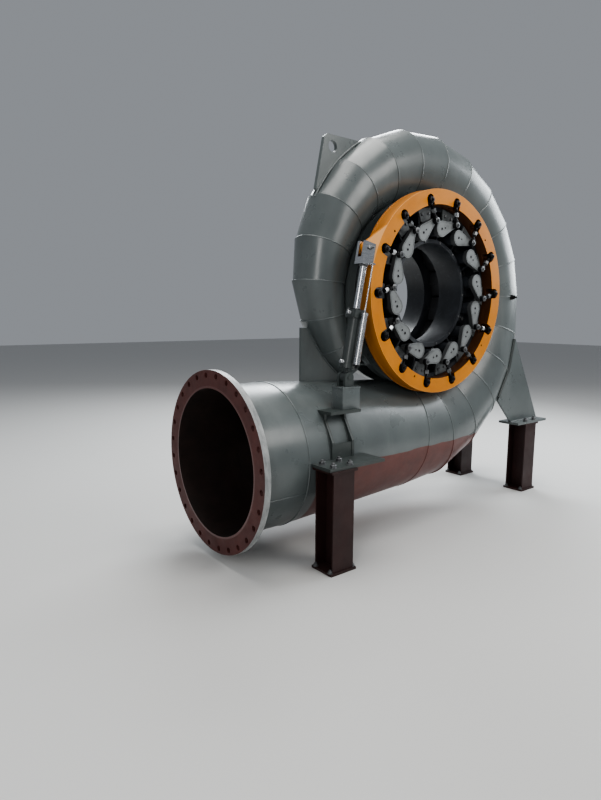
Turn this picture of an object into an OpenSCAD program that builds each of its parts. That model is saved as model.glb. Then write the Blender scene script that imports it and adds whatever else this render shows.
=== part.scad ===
// Spiral case of a horizontal water turbine, with its guide vanes and the gear that turns them.
// Millimetres. The origin is on the turbine axis at the front rim of the shaft bore.
// X runs right, Y runs to the back and Z runs up, seen from the gear side.

/* [Stance] */
// Height of the turbine axis above the floor
axis_h = 1810; // [1790:5:1900]
// Distance from the shaft bore's rim back to the middle plane of the spiral
mid_depth = 305; // [300:1:320]

/* [Spiral case] */
// Depth by which the sections reach in past the stay ring's outer rim
case_bite = 25; // [22:1:30]
// Section radius on the right
r_right = 348; // [335:1:355]
// Section radius on top
r_top = 282; // [270:1:290]
// Section radius on the left
r_left = 185; // [175:1:195]
// Section radius at the nose
r_nose = 108; // [104:1:114]
// Plate thickness of the case and the inlet
case_wall = 14; // [10:1:18]

/* [Inlet] */
// Outer radius of the inlet pipe at its flange
pipe_r = 508; // [500:1:512]
// Distance from the turbine axis to the flange face
inlet_reach = 1789; // [1700:1:1850]
// Length of the straight pipe behind the flange face
pipe_straight = 420; // [300:5:600]
// Difference between the pipe's radius at the flange and at the spiral
inlet_taper = 62; // [58:1:78]
// Width of the inlet flange outside the pipe
flange_w = 107; // [102:1:122]
// Thickness of the inlet flange
flange_t = 44; // [36:1:50]
// Distance of the inlet flange's bolt circle from its rim
flange_bolt_edge = 35; // [30:1:40]
// Radius of one bolt hole in the inlet flange
flange_hole_r = 18.5; // [15:0.5:19]
// Number of bolt holes in the inlet flange
flange_holes = 28; // [24:4:32]

/* [Stay ring] */
// Outer radius of the stay ring
stay_r = 725; // [720:1:728]
// Width of the stay ring from its inner to its outer rim
stay_w = 130; // [125:1:132]
// Thickness of each stay ring plate
stay_t = 70; // [60:1:72]
// Width of the water passage between the two plates
gate_w = 160; // [150:1:166]
// Thickness of one stay vane
stay_vane_t = 24; // [18:1:28]

/* [Covers] */
// Distance from the circle of vane stems in to the shaft bore
bore_inset = 97; // [92:1:107]
// Wall round the shaft bore
bore_wall = 30; // [24:1:34]
// Width of the cover flanges outside the stay ring's inner rim
cover_lip = 70; // [62:1:80]
// Thickness of the cover flanges
cover_flange_t = 35; // [28:1:40]
// Thickness of the discs beside the water passage
cover_disc_t = 30; // [24:1:40]
// Radius of the bosses that hold the vane stems
boss_r = 50; // [46:1:54]
// Distance that the stem bosses stand in front of the shaft bore's rim
boss_front = 40; // [30:1:45]
// Thickness of the cover ribs
rib_t = 16; // [12:1:20]
// Thickness of the collar that guides the operating ring
collar_t = 32; // [24:1:36]
// Reach of the draft tube neck behind the rear cover's flange
neck_reach = 90; // [80:1:120]
// Width of the draft tube flange outside the neck
draft_flange_w = 65; // [60:1:75]
// Distance of its bolt holes from its rim
draft_bolt_edge = 32; // [28:1:34]
// Radius of one bolt hole in the draft tube flange
draft_hole_r = 11; // [9:0.5:13]

/* [Guide vanes] */
// Distance from the stay ring's inner rim in to the circle of vane stems
stem_inset = 113; // [108:1:116]
// Angle of the first stem to the right of straight up
first_stem = 0.3; // [-3:0.1:3]
// Radius of a vane stem
stem_r = 30; // [27:0.5:31]
// Length that a closed vane stays short of the distance between two stems
vane_short = 8.5; // [7:0.5:18]
// Greatest thickness of a vane
vane_t = 36; // [30:1:40]
// Gap at each end of a vane
vane_gap = 5; // [3:0.5:6]
// Gap round a stem in its boss
stem_gap = 0.5; // [0.4:0.1:1]

/* [Levers and links] */
// Length of a lever from its stem to its pivot
lever_len = 150; // [146:1:154]
// Angle of the levers outwards from the tangent
lever_angle = 14.5; // [12:0.5:18]
// Radius of a lever's round end
lever_hub_r = 60; // [56:1:62]
// Radius of a lever's small end
lever_tip_r = 20; // [18:1:24]
// Thickness of a lever
lever_t = 36; // [28:1:38]
// Distance of the ring pins outside the ring's inner rim
pin_inset = 35; // [33:1:37]
// Angle by which a ring pin leads its stem
pin_lead = 11.3; // [10.5:0.1:12]
// Radius of a ring pin
pin_r = 15; // [13:0.5:16]
// Radius of a link's eyes
eye_r = 26; // [24:1:27]
// Thickness of a link's eyes
eye_t = 28; // [24:1:30]
// Radius of a link's threaded rod
link_rod_r = 8; // [7:0.5:8.5]
// Gap round a pin in a moving eye
pin_gap = 0.5; // [0.4:0.1:1]

/* [Operating ring] */
// Width of the operating ring from its inner to its outer rim
ring_w = 110; // [104:1:118]
// Distance of its inner rim outside the stay ring's inner rim
ring_step = 60; // [57:1:64]
// Distance of the ring's front face in front of the shaft bore's rim
ring_front = 110; // [108:1:112]
// Depth of the operating ring from front to back
ring_depth = 125; // [118:1:130]
// Thickness of the ring's front plate
ring_plate_t = 25; // [20:1:28]
// Thickness of the ring's walls
ring_wall = 18; // [14:1:20]
// Half the width of a notch in the ring
notch_r = 39; // [39:0.5:40]
// Depth of a notch from the ring's front face
notch_depth = 62; // [58:1:66]
// Running gap between the ring and its collar
ring_gap = 0.8; // [0.6:0.1:1.2]

/* [Servomotor] */
// Distance of the lug's pin outside the ring's rim
lug_reach = 88; // [80:1:95]
// Angle of the ring lug to the left of straight up
lug_angle = 70.8; // [70:0.1:72]
// Height of the servomotor's lower eye above the top of the inlet pipe
eye_rise = 45.4; // [38:0.1:54]
// Distance of the lower eye to the left of the lug's pin
eye_out = 173.2; // [165:0.1:181]
// Outer radius of the barrel
barrel_r = 43; // [40:1:46]
// Inner radius of the barrel
barrel_in_r = 34; // [32:0.5:36]
// Radius of the piston rod
rod_r = 25; // [22:0.5:27]
// Distance from the lower eye to the top of the barrel's head
head_top = 459; // [450:1:465]
// Width of the barrel's square head
head_w = 98; // [92:1:104]
// Width of the clevis across its face
clevis_w = 100; // [92:1:104]
// Thickness of one clevis ear
ear_t = 22; // [18:1:24]
// Gap between the lug and a clevis ear
ear_gap = 4; // [3:0.5:5]
// Radius of the clevis pin
clevis_pin_r = 15; // [12:0.5:16]
// Gap round the clevis pin in the lug, where the chain of pivots is open
lug_gap = 6; // [5:0.5:7]
// Radius of the sensor tube
sensor_r = 22; // [18:1:24]
// Distance from the barrel's middle forward to the sensor tube's middle
sensor_offset = 75; // [74:1:80]
// Radius of the sensor rod
sensor_rod_r = 5; // [4:0.5:6]

/* [Feet and stands] */
// Distance of the right stands from the turbine axis
right_stand_x = 1370; // [1340:5:1400]
// Distance of the right stands from the middle plane
right_stand_z = 345; // [335:5:355]
// Distance of the left stands from the turbine axis
left_stand_x = 1240; // [1225:5:1250]
// Distance of the left stands' middle outside the inlet pipe
left_stand_gap = 98; // [95:1:107]
// Height of the right stands above the floor
right_stand_h = 650; // [630:5:670]
// Height of the left stands above the floor
left_stand_h = 679; // [665:1:690]
// Width of a stand's beam
beam_w = 175; // [160:5:200]
// Thickness of a beam's flanges
beam_flange_t = 11; // [9:1:16]
// Thickness of a beam's web
beam_web_t = 8; // [6:1:12]
// Thickness of the feet's base plates
base_t = 20; // [16:1:25]
// Thickness of the feet's upright plates
foot_t = 20; // [16:1:25]
// Width of a base plate across the machine
base_w = 200; // [190:5:220]
// Length of a base plate along the machine
base_len = 480; // [460:5:500]

/* [Lifting lug] */
// Radius of the hole in the lifting lug
lug_hole_r = 40; // [34:1:44]
// Distance of the hole outside the spiral
lug_hole_rise = 102.4; // [92:0.1:116]
// Angle of the hole to the left of straight up
lug_hole_angle = 37.3; // [36:0.1:39]
// Thickness of the lifting lug
lug_t = 30; // [24:1:36]

/* [Hidden] */
$fn = 72;
mid_z = -mid_depth;
courses = 20;
first_course = -6;
course_angle = 16;
vanes = 14;
seat = 0.3;
root_gap = 0.015;
step = 360 / vanes;
stay_in_r = stay_r - stay_w;
case_inner_r = stay_r - case_bite;
r_bottom = pipe_r - inlet_taper;
flange_r = pipe_r + flange_w;
flange_bolt_r = flange_r - flange_bolt_edge;
left_stand_z = pipe_r + left_stand_gap;
stem_circle_r = stay_in_r - stem_inset;
bore_r = stem_circle_r - bore_inset;
cover_r = stay_in_r + cover_lip;
draft_flange_r = bore_r + bore_wall + draft_flange_w;
draft_bolt_r = draft_flange_r - draft_bolt_edge;
vane_chord = 2 * stem_circle_r * sin(180 / vanes) - vane_short;
ring_in_r = stay_in_r + ring_step;
ring_r = ring_in_r + ring_w;
pin_circle_r = ring_in_r + pin_inset;
pipe_y = course_c(0)[1];
passage_front = mid_z + gate_w / 2;
passage_back = mid_z - gate_w / 2;
stay_front = passage_front + stay_t;
stay_back = passage_back - stay_t;
cover_plug_r = stay_in_r - 0.5;
lever_front = ring_front - 24;
lever_back = lever_front - lever_t;
link_z = ring_front - 5;
ring_back = ring_front - ring_depth;
collar_r = ring_in_r - ring_gap;
lug_z = ring_front - ring_plate_t / 2;
lug_pin = polar(ring_r + lug_reach, 180 + lug_angle);
servo_eye = [lug_pin[0] - eye_out, pipe_y + pipe_r + eye_rise];
servo_len = norm(lug_pin - servo_eye);
servo_lean = atan2(eye_out, lug_pin[1] - servo_eye[1]);
floor_y = -axis_h;
right_top = floor_y + right_stand_h;
left_top = floor_y + left_stand_h;
eye_ear_t = 22;
eye_ear_w = 92;
eye_ear_h = 150;
eye_w = 36;
block_w = 120;
block_h = 110;
ledge_drop = 210;
trunnion_r = stem_r - 5;
trunnion_len = 55;
ledge_top = servo_eye[1] - ledge_drop;
foot_xs = [servo_eye[0] - 192, servo_eye[0] - 17];
gusset_reach = pipe_r + 2;
gusset_in = pipe_r - 83;
gusset_start = pipe_r - 308;
gusset_bend = pipe_y + 138.7 - left_top - base_t;
gusset_rise = pipe_y + 284.7 - left_top - base_t;
sensor_low = 92;
lug_head = 78;
lug_run = 150;
lug_drop = 304;
lug_top_w = 304;
web_inset = 60;
web_top = -260;
lug_hole_reach = case_inner_r + 2 * section_r(180 + lug_hole_angle) + lug_hole_rise;
sensor_place = [12, sensor_offset];

function pad(i) = i < 10 ? str("0", i) : str(i);
// Point at radius r, at angle s counted anticlockwise from straight down
function polar(r, s) = [r * cos(s - 90), r * sin(s - 90)];
// Angle of stem i, counted anticlockwise from straight down
function stem_s(i) = 180 - first_stem - (i - 1) * step;
function course_s(k) = first_course + k * course_angle;
function section_r(s) = lookup(s, [[0, r_bottom], [90, r_right], [180, r_top], [270, r_left],
                                   [course_s(courses), r_nose]]);
function course_c(k) = polar(case_inner_r + section_r(course_s(k)), course_s(k));

// Draws in the plane of the spiral, with the third direction towards the gear side
module upright() rotate([90, 0, 0]) children();

module disc(r, from, to) translate([0, 0, from]) cylinder(h = to - from, r = r);

// Points of an arc round c, from one angle to another
function arc(c, r, from, to, parts) = [for (i = [0 : parts]) let (t = from + (to - from) * i / parts)
    c + r * [cos(t), sin(t)]];

// Outline round two circles of different size, the first at the origin and the second along X
module teardrop(len, r1, r2) {
    t = acos((r1 - r2) / len);
    polygon(concat(arc([0, 0], r1, t, 360 - t, 30), arc([len, 0], r2, -t, t, 18)));
}

// Straight bar with round ends
module bar(a, b, w) {
    d = b - a;
    t = atan2(d[1], d[0]);
    polygon(concat(arc(a, w / 2, t + 90, t + 270, 12), arc(b, w / 2, t - 90, t + 90, 12)));
}

module cone_between(a, b, ra, rb) {
    d = b - a;
    over = norm(d) * 0.35;
    slope = (rb - ra) / norm(d);
    translate([a[0], a[1], mid_z]) rotate(atan2(d[1], d[0])) translate([-over, 0, 0])
        rotate([0, 90, 0])
            cylinder(h = norm(d) + 2 * over, r1 = ra - slope * over, r2 = rb + slope * over, $fn = 144);
}

module wedge(from, to) {
    reach = 2600;
    translate([0, 0, mid_z - 700]) linear_extrude(1400)
        polygon([[0, 0], polar(reach, from), polar(reach, to)]);
}

module course(k) {
    a = course_c(k);
    b = course_c(k + 1);
    ra = section_r(course_s(k));
    rb = section_r(course_s(k + 1));
    intersection() {
        difference() {
            cone_between(a, b, ra, rb);
            cone_between(a, b, ra - case_wall, rb - case_wall);
            disc(stay_r + seat, mid_z - 600, mid_z + 600);
        }
        wedge(course_s(k) + root_gap, course_s(k + 1) - root_gap);
    }
}

module case_part(from, to) color([0.36, 0.40, 0.39]) upright() for (k = [from : to - 1]) course(k);

// Plate that shuts the small end of the spiral
module nose_plate() {
    s = course_s(courses);
    r = section_r(s);
    c = course_c(courses);
    difference() {
        translate([c[0], c[1], mid_z]) rotate(s) rotate([0, 90, 0])
            cylinder(h = case_wall, r = r);
        disc(stay_r + seat, mid_z - 600, mid_z + 600);
    }
}

module case_left() {
    case_part(15, courses);
    color([0.36, 0.40, 0.39]) upright() nose_plate();
}

module inlet_pipe() color([0.36, 0.40, 0.39]) upright() {
    face = -inlet_reach;
    end = course_c(0)[0];
    straight_end = face + pipe_straight;
    slope = (r_bottom - pipe_r) / (end - straight_end);
    over = 120;
    intersection() {
        difference() {
            pipe_form(face, straight_end, end + over, 0, slope);
            pipe_form(face - 1, straight_end, end + over + 1, case_wall, slope);
            disc(stay_r + seat, mid_z - 600, mid_z + 600);
        }
        translate([0, 0, mid_z - 700]) linear_extrude(1400)
            polygon([[0, 0], polar(2600, course_s(0)), [-2600, -2600], [-2600, 0]]);
    }
}

module pipe_form(face, straight_end, end, wall, slope) translate([0, pipe_y, mid_z]) rotate([0, 90, 0]) {
    translate([0, 0, face]) cylinder(h = straight_end - face, r = pipe_r - wall, $fn = 144);
    translate([0, 0, straight_end]) cylinder(h = end - straight_end, r1 = pipe_r - wall,
        r2 = pipe_r - wall + slope * (end - straight_end), $fn = 144);
}

module inlet_flange() color([0.36, 0.16, 0.14]) upright()
    translate([-inlet_reach, pipe_y, mid_z]) rotate([0, 90, 0]) difference() {
        cylinder(h = flange_t, r = flange_r);
        translate([0, 0, -1]) cylinder(h = flange_t + 2, r = pipe_r + seat);
        for (i = [0 : flange_holes - 1]) rotate(360 / flange_holes * (i + 0.5))
            translate([flange_bolt_r, 0, -1]) cylinder(h = flange_t + 2, r = flange_hole_r);
    }

// Point where the outside of course k, off the middle plane, meets its start or end plane
function outer_edge(k, at, off = 0) =
    let (d = course_c(k + 1) - course_c(k),
         slope = (section_r(course_s(k + 1)) - section_r(course_s(k))) / norm(d),
         lean = polar(1, course_s(at)) * d / norm(d), r = section_r(course_s(at)),
         r_cut = r + slope * lean * sqrt(r * r - off * off))
    polar(norm(course_c(at)) + sqrt((r_cut * r_cut - off * off) / (1 - lean * lean)) + seat, course_s(at));

// Outline of the case in its middle plane, up to the turbine axis
module case_outline() polygon(concat([[0, 0]], [for (k = [0 : courses - 1]) each [outer_edge(k, k),
    outer_edge(k, k + 1)]]));

// Outline of the inlet pipe in the same plane
module pipe_outline() {
    end = course_c(0)[0];
    top = pipe_r + seat;
    polygon([[-inlet_reach, pipe_y + top], [-inlet_reach + pipe_straight, pipe_y + top],
             [end, pipe_y + r_bottom + seat], [end, pipe_y - top], [-inlet_reach, pipe_y - top]]);
}

// Flat web between the nose of the spiral and the top of the inlet pipe
module nose_web() color([0.42, 0.46, 0.45]) upright() {
    left = case_inner_r + 2 * r_left - 15;
    right = case_inner_r - web_inset;
    nose_r = section_r(course_s(courses)) + seat;
    translate([0, 0, mid_z - foot_t / 2]) linear_extrude(foot_t) difference() {
        translate([-left, pipe_y]) square([left - right, web_top - pipe_y]);
        case_outline();
        pipe_outline();
        translate(course_c(courses)) rotate(course_s(courses)) translate([-1, -nose_r])
            square([case_wall + 1 + seat, 2 * nose_r]);
    }
}

module stay_ring() color([0.36, 0.40, 0.39]) upright() {
    difference() {
        union() {
            disc(stay_r, passage_front, stay_front);
            disc(stay_r, stay_back, passage_back);
        }
        disc(stay_in_r, stay_back - 1, stay_front + 1);
    }
    for (i = [0 : vanes - 1]) rotate(i * step + 6) stay_vane();
}

// One fixed vane, leaning with the flow
module stay_vane() {
    r1 = stay_in_r + 22;
    r2 = stay_r - 18;
    a = [r1, 0];
    b = r2 * [cos(7), sin(-7)];
    translate([0, 0, passage_back - 1]) linear_extrude(gate_w + 2) bar(a, b, stay_vane_t);
}

module at_stems() for (i = [1 : vanes]) rotate(stem_s(i) - 90) translate([stem_circle_r, 0, 0]) children();
module between_stems() for (i = [1 : vanes]) rotate(stem_s(i) - 90 + step / 2) children();

// Side of one rib, which steps over the stay ring on its way from the bore to the collar
module rib_side() {
    top = stay_front + 116;
    polygon([[bore_r + 5, passage_front + 1], [cover_plug_r - collar_t / 2, passage_front + 1],
             [cover_plug_r - collar_t / 2, stay_front + 1], [collar_r - collar_t / 2, stay_front + 1],
             [collar_r - collar_t / 2, top], [bore_r + 5, top]]);
}

module head_cover() color([0.16, 0.17, 0.18]) upright() difference() {
    union() {
        disc(bore_r + bore_wall, passage_front, 0);
        disc(cover_plug_r, passage_front, passage_front + cover_disc_t);
        tube(cover_plug_r, cover_plug_r - collar_t, passage_front, stay_front + cover_flange_t);
        tube(cover_r, cover_plug_r - collar_t, stay_front, stay_front + cover_flange_t);
        tube(collar_r, collar_r - collar_t, stay_front, ring_back + 30);
        at_stems() disc(boss_r, passage_front, boss_front);
        between_stems() rotate([90, 0, 0]) translate([0, 0, -rib_t / 2]) linear_extrude(rib_t) rib_side();
    }
    disc(bore_r, passage_front - 1, 1);
    at_stems() disc(stem_r + stem_gap, passage_front - 1, boss_front + 1);
}

module tube(r, inner, from, to) difference() {
    disc(r, from, to);
    disc(inner, from - 1, to + 1);
}

module rear_cover() color([0.16, 0.17, 0.18]) upright() {
    flange_back = stay_back - cover_flange_t;
    neck_back = flange_back - neck_reach;
    difference() {
        union() {
            disc(cover_plug_r, flange_back, passage_back);
            disc(cover_r, flange_back, stay_back);
            disc(bore_r + bore_wall, neck_back, flange_back + 1);
            disc(draft_flange_r, neck_back, neck_back + cover_flange_t);
        }
        disc(bore_r, neck_back - 1, passage_back + 1);
        tube(cover_plug_r - collar_t, bore_r + bore_wall, flange_back - 1, passage_back - cover_disc_t - 70);
        at_stems() disc(trunnion_r + stem_gap, passage_back - trunnion_len - 5, passage_back + 1);
        for (i = [0 : 11]) rotate(i * 30 + 15) translate([draft_bolt_r, 0, 0])
            disc(draft_hole_r, neck_back - 1, neck_back + cover_flange_t + 1);
    }
}

// Vane, stem, trunnion and lever, in the place of stem 1's own frame: X runs along the lever
module vane_form() {
    difference() {
        union() {
            disc(stem_r, passage_front - vane_gap - 10, lever_back + 1);
            disc(trunnion_r, passage_back - trunnion_len, passage_back + vane_gap + 10);
            translate([0, 0, lever_back]) linear_extrude(lever_t)
                teardrop(lever_len, lever_hub_r, lever_tip_r);
            translate([0, 0, passage_back + vane_gap]) linear_extrude(gate_w - 2 * vane_gap)
                rotate(-lever_angle) vane_profile();
        }
        disc(8, lever_front - 30, lever_front + 1);
        translate([38, 0, 0]) disc(5, lever_front - 20, lever_front + 1);
    }
}

// Thick in the middle at the stem, and thin at both ends
module vane_profile() {
    nose = 7;
    tail = 4;
    half = vane_chord / 2;
    a = acos((vane_t / 2 - nose) / (half - nose));
    b = acos((vane_t / 2 - tail) / (half - tail));
    polygon(concat(arc([half - nose, 0], nose, -a, a, 8), arc([0, 0], vane_t / 2, a, 180 - b, 4),
        arc([tail - half, 0], tail, 180 - b, 180 + b, 8), arc([0, 0], vane_t / 2, 180 + b, 360 - a, 4)));
}

module guide_vane(i) color([0.55, 0.57, 0.57]) upright() rotate(stem_s(i) - 180)
    translate([0, stem_circle_r, 0]) rotate(lever_angle) vane_form();

// Ends of a link, with its stem straight up
function link_tip() = [0, stem_circle_r] + lever_len * [cos(lever_angle), sin(lever_angle)];
function link_pin() = pin_circle_r * [sin(pin_lead), cos(pin_lead)];

module link(i) color([0.10, 0.10, 0.11]) upright() rotate(stem_s(i) - 180) {
    a = link_pin();
    b = link_tip();
    d = b - a;
    span = norm(d);
    translate([a[0], a[1], link_z]) rotate(atan2(d[1], d[0])) difference() {
        union() {
            disc(eye_r, -eye_t / 2, eye_t / 2);
            translate([span, 0, 0]) disc(eye_r - 2, -eye_t / 2, eye_t / 2);
            rotate([0, 90, 0]) cylinder(h = span, r = link_rod_r);
            translate([span / 2 - 16, 0, 0]) rotate([0, 90, 0]) rotate(30) cylinder(h = 32, r = 17, $fn = 6);
            translate([span - 42, 0, 0]) rotate([0, 90, 0]) cylinder(h = 24, r = 13);
        }
        disc(pin_r + pin_gap, -eye_t, eye_t);
    }
}

module operating_ring() color([0.80, 0.45, 0.10]) upright() {
    difference() {
        union() {
            difference() {
                union() {
                    disc(ring_r, ring_back, ring_front);
                    ring_lug();
                }
                disc(ring_in_r, ring_back - 1, ring_front + 1);
                tube(ring_r - ring_wall, ring_in_r + ring_wall,
                    ring_back + ring_wall, ring_front - ring_plate_t);
            }
            at_pins() translate([-45, -(pin_circle_r - ring_in_r) + 5, ring_front - notch_depth - 20])
                cube([90, ring_r - ring_in_r - 10, 20]);
        }
        at_pins() notch();
        translate([lug_pin[0], lug_pin[1], 0])
            disc(clevis_pin_r + lug_gap, lug_z - ring_plate_t, lug_z + ring_plate_t);
        for (i = [3, 6, 9, 13]) rotate(stem_s(i) - 180 - pin_lead + step / 2)
            translate([0, pin_circle_r - 7, 0]) disc(8, ring_front - ring_plate_t - 1, ring_front + 1);
    }
    at_pins() {
        disc(pin_r, ring_front - notch_depth - 1, link_z + eye_t / 2 + 6);
        disc(pin_r + 6, link_z + eye_t / 2 + 1, link_z + eye_t / 2 + 6);
    }
}

module at_pins() for (i = [1 : vanes])
    rotate(stem_s(i) - 180 - pin_lead) translate([0, pin_circle_r, 0]) children();

module notch() translate([0, 0, ring_front - notch_depth]) linear_extrude(notch_depth + 1)
    polygon(concat(arc([0, 4], notch_r, 0, 180, 24), [[-notch_r, -80], [notch_r, -80]]));

// Flat lug that the piston rod's clevis holds; its lower edge steps back to clear the clevis's foot
module ring_lug() translate([0, 0, ring_front - ring_plate_t]) linear_extrude(ring_plate_t) difference() {
    end_r = 44;
    low = lug_pin + 55 * [cos(servo_lean), -sin(servo_lean)] - 48 * [sin(servo_lean), cos(servo_lean)];
    polygon(concat([polar(ring_r - 4, 233), polar(ring_r - 60, 250), polar(ring_r - 4, 260), low],
        arc(lug_pin, end_r, -90 - servo_lean, -245, 20)));
    circle(ring_in_r + 20);
}

// Places the servomotor's own frame: Y runs up its rod from the lower eye
module at_servo() upright() translate([servo_eye[0], servo_eye[1], lug_z]) rotate(-servo_lean) children();
module along_y() rotate([-90, 0, 0]) children();

module servo_barrel() color([0.25, 0.28, 0.28]) at_servo() difference() {
    tube_foot = 62;
    union() {
        disc(36, -eye_w / 2, eye_w / 2);
        translate([-eye_w / 2 - 4, 0, -eye_w / 2]) cube([eye_w + 8, tube_foot + 2, eye_w]);
        translate([0, tube_foot, 0]) along_y() cylinder(h = head_top - tube_foot, r = barrel_r);
        translate([0, tube_foot, 0]) along_y() cylinder(h = 26, r = barrel_r + 6);
        translate([-head_w / 2, head_top - 54, -head_w / 2]) cube([head_w, 54, head_w]);
        for (h = [110, head_top - 40]) translate([sensor_place[0] - 14, h, 30])
            cube([28, 26, sensor_place[1] - 40]);
    }
    translate([sensor_place[0], 0, sensor_place[1]]) along_y() cylinder(h = head_top, r = sensor_r + seat);
    disc(clevis_pin_r + pin_gap, -eye_w, eye_w);
    translate([0, tube_foot + 30, 0]) along_y() cylinder(h = head_top - tube_foot - 66, r = barrel_in_r);
    along_y() cylinder(h = head_top + 1, r = rod_r + 1);
}

module sensor_tube() color([0.75, 0.76, 0.77]) at_servo()
    translate([sensor_place[0], sensor_low, sensor_place[1]]) along_y() difference() {
        cylinder(h = head_top - 22 - sensor_low, r = sensor_r);
        translate([0, 0, 12]) cylinder(h = head_top, r = sensor_r - 6);
    }

module servo_rod() color([0.78, 0.79, 0.80]) at_servo() {
    foot = servo_len - 118;
    gap = ring_plate_t / 2 + ear_gap;
    difference() {
        union() {
            translate([0, head_top - 76, 0]) along_y() cylinder(h = foot + 10 - head_top + 76, r = rod_r);
            translate([0, head_top - 100, 0]) along_y() cylinder(h = 30, r = barrel_in_r - 1);
            translate([-clevis_w / 2, foot, -gap - ear_t]) cube([clevis_w, 154, 2 * (gap + ear_t)]);
            translate([sensor_place[0] - 12, foot, 20]) cube([24, 12, sensor_place[1] - 6]);
        }
        translate([-clevis_w, foot + 48, -gap]) cube([2 * clevis_w, 154, 2 * gap]);
        translate([sensor_place[0], foot - 1, sensor_place[1]]) along_y()
            cylinder(h = 9, r = sensor_rod_r + seat);
    }
    translate([0, servo_len, 0]) disc(clevis_pin_r, -gap - ear_t - 4, gap + ear_t + 4);
}

module sensor_rod() color([0.78, 0.79, 0.80]) at_servo()
    translate([sensor_place[0], head_top - 59, sensor_place[1]]) along_y()
        cylinder(h = servo_len - head_top - 51.5, r = sensor_rod_r);

// Block with two ears that holds the servomotor's lower eye
module servo_block() color([0.30, 0.33, 0.32]) upright() {
    gap = eye_w / 2 + 3;
    translate([servo_eye[0], servo_eye[1], lug_z]) {
        disc(clevis_pin_r, -gap - eye_ear_t - 4, gap + eye_ear_t + 4);
        for (side = [-1, 1]) translate([0, 0, side * (gap + eye_ear_t / 2) - eye_ear_t / 2])
            linear_extrude(eye_ear_t) {
                translate([-eye_ear_w / 2, -ledge_drop]) square([eye_ear_w, eye_ear_h]);
                bar([0, 0], [0, -80], 76);
            }
        translate([-block_w / 2, -ledge_drop, -gap - eye_ear_t])
            cube([block_w, block_h, 2 * (gap + eye_ear_t)]);
    }
}

// Cone of the inlet pipe, grown by the seat, for cutting what is welded to it
module pipe_core() pipe_form(-inlet_reach, -inlet_reach + pipe_straight, 0, -seat,
    (r_bottom - pipe_r) / (course_c(0)[0] + inlet_reach - pipe_straight));

// Base plate and two gussets at one side of the inlet pipe
module left_foot(side, gusset_h) {
    far = left_stand_z + base_w / 2 - 15;
    plate_top = left_top + base_t;
    translate([-left_stand_x - 115, left_top, side > 0 ? mid_z + far - base_w : mid_z - far])
        cube([base_len, base_t, base_w]);
    for (x = foot_xs) translate([x, plate_top, mid_z]) to_side(side) gusset(gusset_h);
    translate([foot_xs[0], plate_top, side > 0 ? mid_z + gusset_reach - 16 : mid_z - gusset_reach + 4])
        cube([foot_xs[1] - foot_xs[0], gusset_bend - 10, 12]);
}

module to_side(side) if (side > 0) children(); else mirror([0, 0, 1]) children();

// Upright plate whose outer edge leans back towards the pipe as it rises
module gusset(h) translate([-foot_t / 2, 0, 0]) rotate([0, -90, 180]) mirror([0, 1, 0]) linear_extrude(foot_t)
    polygon([[gusset_start, 0], [gusset_reach, 0], [gusset_reach, gusset_bend], [gusset_in, gusset_rise],
             [gusset_in, h], [gusset_start, h]]);

module left_foot_front() color([0.30, 0.33, 0.32]) upright() difference() {
    union() {
        left_foot(1, ledge_top - left_top - 2 * base_t);
        translate([foot_xs[0] - 20, ledge_top - base_t, mid_z + gusset_start])
            cube([foot_xs[1] - foot_xs[0] + 90, base_t, gusset_reach - gusset_start - 5]);
    }
    pipe_core();
}

module left_foot_rear() color([0.30, 0.33, 0.32]) upright() difference() {
    left_foot(-1, gusset_rise + 5);
    pipe_core();
}

// The same at a share t of the way along the course, square to its axis
function edge_along(k, t, off) =
    let (d = course_c(k + 1) - course_c(k), out = [d[1], -d[0]] / norm(d),
         r = (1 - t) * section_r(course_s(k)) + t * section_r(course_s(k + 1)))
    course_c(k) + t * d + (sqrt(r * r - off * off) + seat) * out;

// Upright plate under the right side of the spiral
module right_foot(side) {
    z = mid_z + side * right_stand_z;
    near = right_stand_z - foot_t / 2;
    plate_top = right_top + base_t;
    translate([right_stand_x - base_len / 2, right_top, z - base_w / 2]) cube([base_len, base_t, base_w]);
    translate([0, 0, z - foot_t / 2]) linear_extrude(foot_t) difference() {
        polygon([[right_stand_x - base_len / 2 + 20, plate_top],
                 [right_stand_x + base_len / 2 - 20, plate_top],
                 [case_inner_r + 410, -300], [case_inner_r + 300, -300], [case_inner_r, -case_inner_r]]);
        polygon(concat([[0, 0]], [for (k = [1 : 4]) each concat([outer_edge(k, k, near)],
            [for (t = [0.2 : 0.15 : 0.8]) edge_along(k, t, near)], [outer_edge(k, k + 1, near)])],
            [[case_inner_r + 300, 0]]));
    }
}

module right_foot_front() color([0.36, 0.40, 0.39]) upright() right_foot(1);
module right_foot_rear() color([0.36, 0.40, 0.39]) upright() right_foot(-1);

// Stand made from one wide-flange beam between two plates
module stand(x, side, off, top) color([0.25, 0.13, 0.12]) upright() {
    z = mid_z + side * off;
    cap = 16;
    for (y = [floor_y, top - cap]) translate([x - beam_w / 2 - 20, y, z - beam_w / 2 - 10])
        cube([beam_w + 40, cap, beam_w + 20]);
    translate([x, floor_y + cap, z]) along_y() linear_extrude(top - floor_y - 2 * cap) {
        square([beam_web_t, beam_w], center = true);
        for (y = [-1, 1]) translate([0, y * (beam_w - beam_flange_t) / 2])
            square([beam_w, beam_flange_t], center = true);
    }
}

module lifting_lug() color([0.40, 0.44, 0.43]) upright() {
    c = polar(lug_hole_reach, 180 + lug_hole_angle);
    top = c[1] + lug_head;
    left = c[0] - lug_head;
    bend = lug_head / 3;
    translate([0, 0, mid_z - lug_t / 2]) linear_extrude(lug_t) difference() {
        polygon([[left + bend, top], [left, top - bend], [c[0] - lug_run, c[1] - lug_drop],
                 polar(case_inner_r + 300, 236), polar(case_inner_r + 300, 204),
                 [left + bend + lug_top_w, top]]);
        translate(c) circle(lug_hole_r);
        case_outline();
    }
}

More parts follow.
